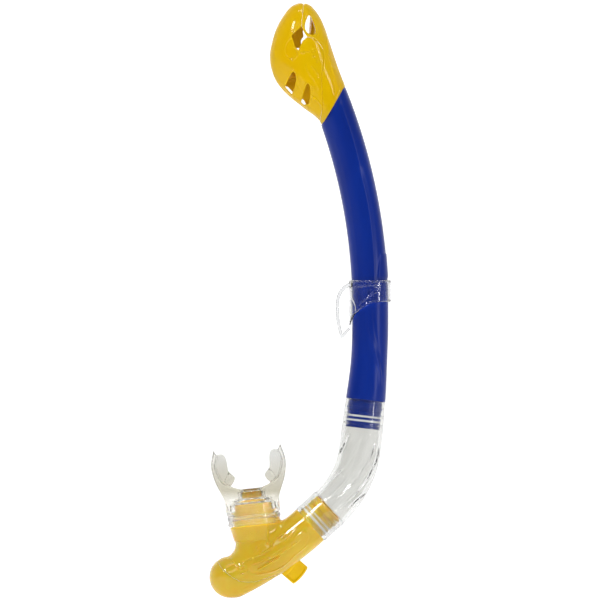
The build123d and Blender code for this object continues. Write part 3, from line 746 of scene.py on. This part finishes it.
def top_relief(x, z):
    """How far the dry top's sides stand out or in, over its side view."""
    seam = seam_side(x, z)
    seam_lip = ease(z, 172, 178) * (1 - ease(np.abs(seam - 0.9), 0.5, 1.2)) * (seam > 0)
    height = 0.5 * bead(outline(x, z, SLOT) - 0.9, 0.7) + 0.35 * seam_lip
    height = height - 0.75 * ease(-outline(x, z, LOBE), -0.3, 0.9) - 0.55 * crease(x, z, seam)
    for hole, lip in ((WINDOW, 0.3), (VENTS[0], 0.35), (VENTS[1], 0.35)):
        height = height + lip * bead(outline(x, z, hole) - 0.8, 0.5)
    height = height + ridges(x, z, TOP_LINES)
    for edge in FRONT_STEPS:
        height = height - 0.8 * ease(-outline(x, z, edge), -0.2, 0.5)
    for cx, cz, size in BUBBLES:
        height = height + 0.3 * bead(np.hypot(x - cx, z - cz) - size, 0.32)
    return height


top_height = sampled(top_relief, TOP_LOW, TOP_HIGH)
top_seam = sampled(seam_side, TOP_LOW, TOP_HIGH)
top_slot = sampled_outline(SLOT, TOP_LOW, TOP_HIGH)


def top_form(x, y, z):
    """The dry top's outer form with its relief and rounded crown, above the joint."""
    side = ease(np.abs(y), 2.0, 6.0)
    form = skin(x, y, z) - top_height(x, z) * side
    form = both(form, z - 207.3, 3.0)
    notch = np.hypot(x + 47.6, z - 207.6) - 1.0
    return both(cut(form, notch, 0.5), 0.12 - joint_height(x, z), 0.5)


def top_shell(x, y, z):
    return cut(top_form(x, y, z), skin(x, y, z) + SHELL, 0.5)


def conduit(x, y, z):
    """Distance to the airway's axis inside the dry top, and the height along it from the valve seat."""
    along, across = shifted(x, z, seat_point, up(TUBE_TILT))
    return np.hypot(across, y), along


def base_field(x, y, z):
    seam = top_seam(x, z)
    wall = top_shell(x, y, z)
    floor = both(top_form(x, y, z), joint_height(x, z) - 2.6, 0.4)
    away, along = conduit(x, y, z)
    body = both(union(wall, floor, 0.8), SEAM_GAP - seam, 0.5)
    slot = both(top_slot(x, z), (x + 38.8) * SLOT_LEAN[0] + (y + 13) * SLOT_LEAN[1], 0.8)
    tunnel = both(both(skin(x, y, z) + 0.8, slot - 1.5), SEAM_GAP - seam)
    body = union(body, tunnel, 0.8)
    pipe = both(away - CONDUIT_R, np.abs(along + SEAT_RISE / 2) - SEAT_RISE / 2)
    plug = both(away - TOP_SOCKET_R + 0.05, np.abs(along + SEAT_RISE + 7.5) - 7.5, 0.3)
    plug = both(plug, joint_height(x, z) - 0.5)
    groove = both(np.abs(away - TOP_SOCKET_R) - 1.0, np.abs(along + SEAT_RISE + 11) - 1.05)
    body = union(body, cut(union(pipe, plug, 0.2), groove), 0.3)
    body = cut(body, both(away - CONDUIT_BORE_R, -along - SEAT_RISE - 16), 0.3)
    return cut(body, slot, 0.6)


LOWER_BAFFLE = [(-75, 150.4), (-43.8, 150.4), (-38.2, 134.5), (-38.2, 126), (-75, 126)]
UPPER_BAFFLE = [(-75, 187.5), (-54.6, 190.4), (-47.6, 190.4), (-48.4, 186.4), (-47.8, 183.4),
                (-49.8, 180.2), (-49.5, 175.0), (-75, 174.4)]
BACK_BAFFLE = [(-75, 160), (-50, 160), (-50, 148.5), (-75, 148.5)]
DRAINS = ([(-62.0, 147.6), (-56.2, 140.6), (-55.6, 143.2), (-59.2, 147.0)],
          [(-50.4, 135.8), (-48.7, 138.4), (-47.4, 137.0), (-46.0, 134.2), (-47.0, 133.6)])


def baffle_side(x, z):
    """The two splash baffles above and below the float, with a drain slot behind each vent."""
    lower = outline(x, z, LOWER_BAFFLE)
    for slot in DRAINS:
        lower = cut(lower, outline(x, z, slot))
    return np.minimum(lower, outline(x, z, UPPER_BAFFLE))


top_baffles = sampled(baffle_side, TOP_LOW, TOP_HIGH)
back_baffle = sampled_outline(BACK_BAFFLE, TOP_LOW, TOP_HIGH)


def cover_field(x, y, z):
    seam = top_seam(x, z)
    front = both(top_baffles(x, z), np.abs(y - 3.4) - 0.8, 0.3)
    back = both(back_baffle(x, z), np.abs(y - 8.5) - 0.8, 0.3)
    baffles = both(np.minimum(front, back), skin(x, y, z) + SHELL - 0.6)
    body = both(top_shell(x, y, z), seam + SEAM_GAP, 0.5)
    for hole in (WINDOW, *VENTS):
        body = cut(body, outline(x, z, hole), 0.6)
    return union(body, both(baffles, seam + SEAM_GAP), 0.4)


def make_dry_top(material):
    field_piece("dry_top_base_skin", base_field, (-56, -19, 106), (-5, 19, 210), 0.4, material, "tube",
                ["dry_top_base"])
    field_piece("dry_top_cover_skin", cover_field, (-75, -19, 112), (-31, 19, 210), 0.36, material, "tube",
                ["dry_top_cover"])


# ------------------------------ housing

def neck_place(x, y, z):
    """Distance to the neck's axis, and the height along it."""
    along, across = shifted(x, z, NECK_FOOT, up(NECK_TILT))
    return np.hypot(across, y), along


def body_place(x, z):
    """Height above the housing's top end, along the lower joint's axis, and the distance across."""
    return shifted(x, z, body_top, -down(ELBOW_TILT))


TOE_SEAM = np.vstack((
    smooth_line([(-112.0, -190.5), (-105.8, -200.6), (-96.0, -208.0), (-89.4, -209.6), (-82.1, -209.4)]),
    [(-60.0, -202.0)],
))
NECK_SHAPE = ((-6, 0), (-6, 15.1), (15.6, 15.1), (16.6, 15.9), (26.5, 18.0), (26.9, 16.0), (31.8, 16.0),
              (32.0, 16.5), (33.2, 16.5), (33.4, 16.0), (42, 16.0), (46, 10.5), (46.2, 10.0), (51, 10.0),
              (51, 0))
NECK_HOLLOW = ((-6, 0), (-6, 12.5), (40, 12.5), (44.5, 8.2), (53, 8.2), (53, 0))

# Ridges and grooves over the housing's side view, with height and width
BODY_LINES = (
    (((-104.5, -198.6), (-99.4, -196.8), (-96.8, -195.8)), 0.5, 0.8),
    (((-93.0, -204.2), (-87.8, -201.4)), 0.5, 0.7),
    (((-101.0, -192.0), (-94.4, -198.4), (-89.0, -201.0)), 0.3, 0.7),
    (((-94.4, -201.0), (-90.8, -198.2)), 0.6, 0.8),
    (((-85.4, -193.0), (-77.0, -188.6), (-69.2, -183.8)), 0.7, 0.8),
    (((-81.8, -201.4), (-72.0, -196.0), (-63.6, -190.2)), 0.75, 0.7),
    (((-87.2, -198.0), (-80.0, -195.4), (-70.0, -192.2), (-58.0, -185.0), (-48.0, -177.7)), 0.4, 0.7),
    (((-85.2, -204.8), (-76.0, -203.6), (-64.0, -199.4), (-52.0, -189.0), (-44.4, -182.6)), 0.45, 0.8),
    (((-72.6, -184.0), (-66.0, -177.0), (-61.6, -175.0), (-62.8, -178.4)), 0.5, 0.6),
    (((-61.0, -179.6), (-56.0, -175.4), (-52.0, -170.9)), 0.45, 0.7),
    (((-92.6, -196.0), (-84.0, -192.4), (-76.0, -187.6)), -0.4, 0.8),
    (((-73.6, -168.6), (-73.4, -176.0), (-73.6, -182.6)), 0.5, 0.7),
)
PANEL = smooth_line([(-88.6, -196.6), (-78.0, -194.2), (-60.0, -183.0), (-48.5, -173.0), (-44.0, -178.0),
                     (-52.0, -188.6), (-66.0, -199.4), (-84.0, -203.6)], closed=True)
NECK_PATCHES = (
    [(-91.0, -173.6), (-77.0, -172.4), (-77.2, -174.8), (-90.0, -178.2)],
    [(-88.8, -180.4), (-80.6, -177.6), (-83.6, -180.6), (-88.2, -186.4)],
    [(-77.0, -180.0), (-79.6, -186.6), (-88.4, -190.8), (-86.0, -188.0)],
)


def sparkle(x, z):
    """Fine facets on three patches of the neck."""
    patch = np.minimum.reduce([outline(x, z, points) for points in NECK_PATCHES])
    facets = np.sin(3.9 * x + 1.7 * z) * np.sin(4.3 * z - 1.3 * x) + 0.5 * np.sin(2.9 * x - 3.7 * z)
    return 0.2 * facets * ease(-patch, -0.2, 0.6)


def housing_relief(x, z):
    height = ridges(x, z, BODY_LINES, rise=1.9, slim=0.75)
    return height + 0.4 * ease(-outline(x, z, PANEL), -0.4, 0.8) + sparkle(x, z)


def toe_side(x, z):
    region = np.vstack((TOE_SEAM, [(-60, -240), (-140, -240), (-140, -190.5)]))
    return outline(x, z, region)


HOUSING_LOW, HOUSING_HIGH = (-120, -226), (-38, -140)
housing_height = sampled(housing_relief, HOUSING_LOW, HOUSING_HIGH)
housing_seam = sampled(toe_side, HOUSING_LOW, HOUSING_HIGH)


def housing_form(x, y, z):
    above = body_place(x, z)[0]
    away, along = neck_place(x, y, z)
    radial, height = np.broadcast_arrays(away, along)
    neck = neck_outer(height, radial)
    side = ease(np.abs(y), 2.0, 7.0)
    relief = housing_height(x, z) * side
    rod = bent_rod(x, y, z, body_top, ELBOW_TILT, TOE_TILT, BODY_BEND_R)
    tip = np.sqrt((x - np.clip(x, toe[0] - TOE_STRETCH, toe[0])) ** 2 + y**2 + (z - toe[1]) ** 2)
    body = both(np.minimum(rod, tip) - BODY_R, above, 0.6)
    form = union(body, neck, 7.0) - relief
    boss = both(np.hypot(x - PURGE_X, z - PURGE_Z) - BOSS_R, np.abs(y - 9.3) - 9.3, 0.5)
    form = union(form, boss, 1.0)
    return union(form, lower_spigot(x, y, z), 0.1)


SPIGOT_SHAPE = ((-3, 0), (-3, 12.4), (1.0, 12.4), (1.2, 12.05), (2.6, 12.05), (2.8, 12.4), (3.95, 12.4),
                (3.95, 11.4), (5.35, 11.4), (5.35, 12.4), (6.95, 12.4), (6.95, 11.4), (8.35, 11.4),
                (8.35, 12.4), (9.6, 12.4), (9.8, 12.0), (11.2, 12.0), (11.4, 12.4), (12.0, 12.4),
                (12.1, 12.9), (13.5, 12.9), (13.6, 12.4), (14.4, 12.4), (14.6, 12.0), (15.6, 12.0),
                (15.8, 12.4), (17, 12.4), (17, 0))
neck_outer = sampled_outline(NECK_SHAPE, (-12, 0), (56, 48), 0.1)
neck_inner = sampled_outline(NECK_HOLLOW, (-12, 0), (56, 48), 0.1)
spigot_outer = sampled_outline(SPIGOT_SHAPE, (-8, 0), (24, 40), 0.1)


def lower_spigot(x, y, z):
    along, across = body_place(x, z)
    along, away = np.broadcast_arrays(along, np.hypot(across, y))
    return spigot_outer(along, away)


def housing_hollow(x, y, z):
    above, across = body_place(x, z)
    arc = bent_rod(x, y, z, body_top, ELBOW_TILT, TOE_TILT, BODY_BEND_R) - CAVITY_R
    arc = both(arc, above + 3)
    mouth = both(np.hypot(across, y) - BORE_R, -above - 6)
    away, along = neck_place(x, y, z)
    radial, height = np.broadcast_arrays(away, along)
    neck = neck_inner(height, radial)
    port = both(np.hypot(x - PURGE_X, z - PURGE_Z) - PORT_R, -y)
    return np.minimum(np.minimum(union(arc, mouth, 0.5), neck), port)


def housing_shell(x, y, z):
    body = cut(housing_form(x, y, z), housing_hollow(x, y, z), 0.4)
    seat = both(np.hypot(x - PURGE_X, z - PURGE_Z) - SEAT_R, 15.0 - y)
    return cut(body, seat)


def make_housing(material):
    gap = 0.03

    def housing(x, y, z):
        return both(housing_shell(x, y, z), gap - housing_seam(x, z), 0.35)

    def toe_cap(x, y, z):
        return both(housing_shell(x, y, z), housing_seam(x, z) + gap, 0.35)

    field_piece("housing_skin", housing, (-118, -20, -214), (-24, 20, -138), 0.37, material, "lower_housing",
                ["housing"])
    field_piece("toe_cap_skin", toe_cap, (-118, -17, -223), (-56, 17, -186), 0.37, material, "lower_housing",
                ["toe_cap"])


def purge_cover_field(x, y, z):
    away = np.hypot(x - PURGE_X, z - PURGE_Z)
    body = both(away - COVER_R, np.abs(y - 18.7) - 3.1, 1.2)
    body = cut(body, both(away - 13.25, y - 18.65))
    body = cut(body, both(away - 10.0, y - 20.3), 0.4)
    for step in range(8):
        angle = math.radians(45 * step)
        vent = np.hypot(x - PURGE_X - 6 * math.cos(angle), z - PURGE_Z - 6 * math.sin(angle)) - 1.7
        body = cut(body, both(vent, 16 - y), 0.5)
    angle = math.radians(-41)
    along, across = shifted(x, z, (PURGE_X, PURGE_Z), (math.cos(angle), math.sin(angle)))
    tab = both(both(away - 26.6, np.abs(across) - 8.0, 0.8), np.abs(y - 16.9) - 1.3, 0.7)
    tab = both(tab, 14.0 - along)
    dish = both(both(away - 25.2, np.abs(across) - 6.6, 0.8), 17.2 - along, 0.8)
    dish = both(dish, y - 16.3)
    return union(body, cut(tab, dish, 0.35), 0.6)


def make_purge_cover(material):
    field_piece("purge_cover_skin", purge_cover_field, (-85, 15, -213), (-42, 22.5, -172), 0.4, material,
                "lower_housing", ["purge_cover"])


# ------------------------------ mouthpiece

MOUTH_OUTER = [(18.6, 38), (18.7, 41), (19.6, 46), (22.0, 52), (25.2, 60), (27.0, 69), (26.4, 76),
               (24.2, 83.3)]
MOUTH_INNER = [(22.0, 79.0), (23.8, 72.0), (22.6, 65.0), (19.5, 59.0), (14.5, 56.2), (7.5, 53.4)]
BITE = smooth_line([(23.5, 60.0), (24.0, 66.0), (23.9, 72.0), (22.6, 79.0), (18.0, 79.9), (15.6, 76.0),
                    (15.2, 70.5), (14.4, 66.5), (10.8, 61.8), (14.4, 56.6), (19.0, 58.0)], closed=True)
NUB = [(10.8, 61.8), (14.4, 56.6), (18.0, 60.0), (14.4, 66.5)]


def mouth_side(u, v):
    half = np.vstack((smooth_line(MOUTH_OUTER), smooth_line(MOUTH_INNER)))
    mirrored = half[::-1] * (-1, 1)
    return outline(u, v, np.vstack((half, mirrored)))


MOUTH_LOW, MOUTH_HIGH = (-34, 20), (34, 90)
mouth_shield = sampled(mouth_side, MOUTH_LOW, MOUTH_HIGH, 0.15)
bite_side = sampled(lambda u, v: outline(np.abs(u), v, BITE), MOUTH_LOW, MOUTH_HIGH, 0.15)
nub_side = sampled(lambda u, v: outline(np.abs(u), v, NUB), MOUTH_LOW, MOUTH_HIGH, 0.15)


def sleeve_place(x, y, z):
    """Distance across the neck's axis in the side view, height along it, and distance from it."""
    v, u = shifted(x, z, NECK_FOOT, up(NECK_TILT))
    u, v = np.broadcast_arrays(u, v)
    return u, v, np.hypot(u, y)


def mouth_field(x, y, z):
    u, v, away = sleeve_place(x, y, z)
    radius = SLEEVE_R + 0 * v
    for height, rise, width in ((28.6, 0.65, 0.6), (35.9, 0.65, 0.6), (38.8, 0.35, 0.45), (40.9, 0.35, 0.45)):
        radius = radius + rise * bead(v - height, width)
    sleeve = both(away - radius, np.maximum(27.0 - v, v - 44.0), 0.5)
    half_depth = np.interp(v, (40, 60, 70, 78, 86), (13.5, 12.0, 10.6, 8.2, 3.5))
    flange = both(mouth_shield(u, v), np.abs(y) - half_depth, 1.6)
    body = union(sleeve, flange, 4.0)
    bite = both(bite_side(u, v), np.abs(y) - 2.0, 1.4)
    nub = both(nub_side(u, v), np.abs(y) - 5.0, 1.6)
    body = union(body, union(bite, nub, 0.8), 0.9)
    fit = 0.06
    socket = both(away - NECK_R - fit, v - NECK_SHOULDER)
    cone = both(away - NECK_R - fit + np.clip(v - NECK_SHOULDER, 0, None) * 1.37, v - NECK_CONE)
    lip = both(away - LIP_R - fit, v - NECK_TOP)
    groove = both(away - NECK_R - 0.5 - fit, np.abs(v - 32.6) - 0.9)
    hollow = np.minimum.reduce([socket, cone, lip, groove, away - LIP_BORE_R])
    tie = both(np.abs(away - SLEEVE_R) - 0.62, np.abs(v - TIE_HEIGHT) - 1.82)
    return cut(cut(body, hollow, 0.25), tie, 0.2)


def make_mouthpiece(material):
    field_piece("mouthpiece_skin", mouth_field, (-118, -20.5, -170), (-55, 20.5, -108), 0.45, material,
                "bite", ["mouthpiece"])


def tie_field(x, y, z):
    u, v, away = sleeve_place(x, y, z)
    off_middle = np.abs(v - TIE_HEIGHT)
    teeth = 0.12 * np.cos(np.arctan2(u, y) * 90) * ease(1.2 - off_middle, 0, 0.3)
    band = both(np.abs(away - 18.52) - 0.48 - teeth * (away > 18.5), off_middle - 1.7, 0.35)
    head = both(both(np.abs(u) - 2.5, np.abs(y - 20.2) - 1.7, 0.6), off_middle - 2.5, 0.6)
    slot = both(both(np.abs(u - 0.4) - 1.5, off_middle - 1.5), 20.6 - y)
    tail = both(both(np.abs(y - 20.0) - 0.5, off_middle - 1.4, 0.3), np.abs(u - 3.4) - 1.6, 0.4)
    return union(band, cut(union(head, tail, 0.3), slot, 0.3), 0.5)


def make_tie(material):
    field_piece("mouthpiece_tie_skin", tie_field, (-104, -20, -172), (-62, 22.4, -155), 0.36, material,
                "bite", ["mouthpiece_tie"])


# ------------------------------ strap clip

HOOK = np.vstack((
    smooth_line([(-12.4, 6.6), (-16.4, 5.2), (-20.8, 1.8), (-23.4, -2.6), (-24.5, -8.0), (-24.6, -14.0),
                 (-24.1, -21.0), (-22.8, -28.0), (-20.9, -34.1)]),
    [(-19.2, -33.6), (-14.3, -27.4), (-15.3, -26.2), (-20.0, -30.8)],
    smooth_line([(-20.7, -27.6), (-21.9, -21.0), (-22.4, -14.0), (-22.3, -8.4), (-21.2, -3.6), (-18.9, 0.2),
                 (-15.6, 2.8), (-12.4, 4.2)]),
))
BAND = np.vstack((
    [(-20, 7.7), (20, 7.7), (20, -7.7), (8, -7.9)],
    smooth_line([(3.0, -8.3), (-1.0, -9.6), (-6.0, -12.6), (-10.4, -16.6), (-13.0, -21.0), (-13.8, -24.5)]),
    [(-20, -24.5)],
))
CLIP_RIBS = (
    (((-13.6, 2.2), (-6.0, 3.6), (2.0, 4.3), (7.0, 1.2), (2.0, -2.2), (-5.0, -7.2), (-8.6, -10.8)),
     0.6, 0.42),
    (((-13.4, -6.0), (-11.0, -12.0), (-12.2, -20.0)), 0.35, 0.6),
)


def clip_relief(x, z):
    """The band's raised rim and ribs. They rise to the band's full radius from a sunk face."""
    sunk = 0.65
    return ridges(x, z, CLIP_RIBS) + sunk * bead(outline(x, z, BAND) + 0.65, 0.42) - sunk


CLIP_LOW, CLIP_HIGH = (-27, -37), (18, 10)
clip_height = sampled(clip_relief, CLIP_LOW, CLIP_HIGH, 0.12)
hook_side = sampled_outline(HOOK, CLIP_LOW, CLIP_HIGH, 0.12)
band_side = sampled_outline(BAND, CLIP_LOW, CLIP_HIGH, 0.12)


def clip_field(x, y, z):
    away = np.hypot(x, y)
    band = both(away - CLIP_R + 0.02 - clip_height(x, z), band_side(x, z), 0.5)
    hook = both(hook_side(x, z), np.abs(y) - 6.4, 0.7)
    root = both(hook, CLIP_BORE_R + 0.1 - away)
    return both(union(band, root, 1.6), CLIP_BORE_R - away, 0.4)


def make_clip(material):
    field_piece("strap_clip_skin", clip_field, (-26, -17, -36), (17, 17, 9), 0.38, material, "clip",
                ["strap_clip"])


# ------------------------------ scene

def paint(node, material):
    """Gives a node that keeps its own shape a better material."""
    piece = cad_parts[node]
    if not piece.material_slots:
        piece.data.materials.append(material)
    for slot in piece.material_slots:
        slot.material = material


def make_backdrop():
    """One pale sheet: the floor in front, swept up behind."""
    floor = CAD_BOX[0][2] - 0.002
    back, turn, high, wide = 1.1, 0.5, 2.4, 4.0
    line = [(-1.4, floor), (back - turn, floor)]
    for step in range(1, 17):
        angle = math.radians(90 * step / 16)
        line.append((back - turn + turn * math.sin(angle), floor + turn * (1 - math.cos(angle))))
    line.append((back, high))
    points = [(x, y, z) for y, z in line for x in (-wide, wide)]
    faces = [(2 * i, 2 * i + 1, 2 * i + 3, 2 * i + 2) for i in range(len(line) - 1)]
    mesh = bpy.data.meshes.new("backdrop")
    mesh.from_pydata(points, [], faces)
    for face in mesh.polygons:
        face.use_smooth = True
    material, nodes, links, shader = new_material("pale paper")
    links.new(tint(nodes, links, noise(nodes, links, 3, 2), (0.93, 0.93, 0.93), (0.90, 0.90, 0.90)),
              shader.inputs["Base Color"])
    shader.inputs["Roughness"].default_value = 0.9
    shader.inputs["Specular IOR Level"].default_value = 0.1
    shader.inputs["Emission Color"].default_value = (1, 1, 1, 1)
    shader.inputs["Emission Strength"].default_value = 0.40
    mesh.materials.append(material)
    backdrop = bpy.data.objects.new("backdrop", mesh)
    bpy.context.scene.collection.objects.link(backdrop)


def area_light(name, place, aim, size, power):
    light = bpy.data.lights.new(name, "AREA")
    light.shape = "RECTANGLE"
    light.size, light.size_y = size
    light.energy = power
    lamp = bpy.data.objects.new(name, light)
    lamp.location = place
    way = np.array(aim) - np.array(place)
    flat = math.hypot(way[0], way[1])
    lamp.rotation_euler = (math.atan2(flat, -way[2]), 0, math.atan2(-way[0], way[1]))
    lamp.visible_camera = False
    bpy.context.scene.collection.objects.link(lamp)


def make_light():
    """Soft boxes at both sides and above, in a room that is pale behind the object and dim in front."""
    middle = (-0.05, 0, 0)
    area_light("key", (-1.2, -1.5, 1.2), middle, (0.34, 0.34), 14.5)
    area_light("fill", (1.5, -1.1, 0.3), middle, (0.2, 1.0), 8)
    area_light("front", (-0.2, -2.6, 1.2), middle, (1.6, 0.5), 10)
    area_light("top", (-0.15, -0.55, 1.5), middle, (0.7, 0.16), 7)
    world = bpy.data.worlds.new("studio")
    world.use_nodes = True
    nodes, links = world.node_tree.nodes, world.node_tree.links
    place = nodes.new("ShaderNodeTexCoord")
    split = nodes.new("ShaderNodeSeparateXYZ")
    level = nodes.new("ShaderNodeMapRange")
    level.inputs["From Min"].default_value = -0.5
    level.inputs["From Max"].default_value = 0.3
    level.inputs["To Min"].default_value = 0.07
    level.inputs["To Max"].default_value = 0.55
    links.new(place.outputs["Generated"], split.inputs["Vector"])
    links.new(split.outputs["Y"], level.inputs["Value"])
    links.new(level.outputs["Result"], nodes["Background"].inputs["Strength"])
    nodes["Background"].inputs["Color"].default_value = (0.93, 0.95, 0.98, 1)
    bpy.context.scene.world = world


def make_camera():
    """The camera looks along +Y at the middle of the side view. It has no perspective, like the long lens
    of a catalogue picture."""
    width = 0.432
    camera = bpy.data.cameras.new("camera")
    camera.type = "ORTHO"
    camera.ortho_scale = width
    camera.clip_end = 20
    view = bpy.data.objects.new("camera", camera)
    view.location = (-0.0504, -4.8, -0.0065)
    view.rotation_euler = (math.pi / 2, 0, 0)
    bpy.context.scene.collection.objects.link(view)
    bpy.context.scene.camera = view


make_camera()
make_backdrop()
make_light()
bpy.context.scene.view_settings.view_transform = "Standard"

yellow = yellow_abs_painted_glow()
mustard = mustard_pvc()
clip_plastic = clear_clip()
silicone = soft_silicone()
rubber = seal_rubber()
make_barrel(blue_pvc())
make_dry_top(yellow)
make_clip(clip_plastic)
make_elbow(clear_pvc())
make_housing(mustard)
make_purge_cover(tab_yellow())
make_mouthpiece(mouth_silicone())
make_tie(tie_nylon())
paint("valve_seat", yellow)
paint("pivot_pin", grey_pin())
paint("float_arm", clip_plastic)
paint("float", float_amber())
paint("seal_disc", silicone)
paint("dry_top_seal", rubber)
paint("upper_joint_seals", rubber)
paint("lower_joint_seals", rubber)
paint("purge_seat", mustard)
paint("purge_flap", silicone)
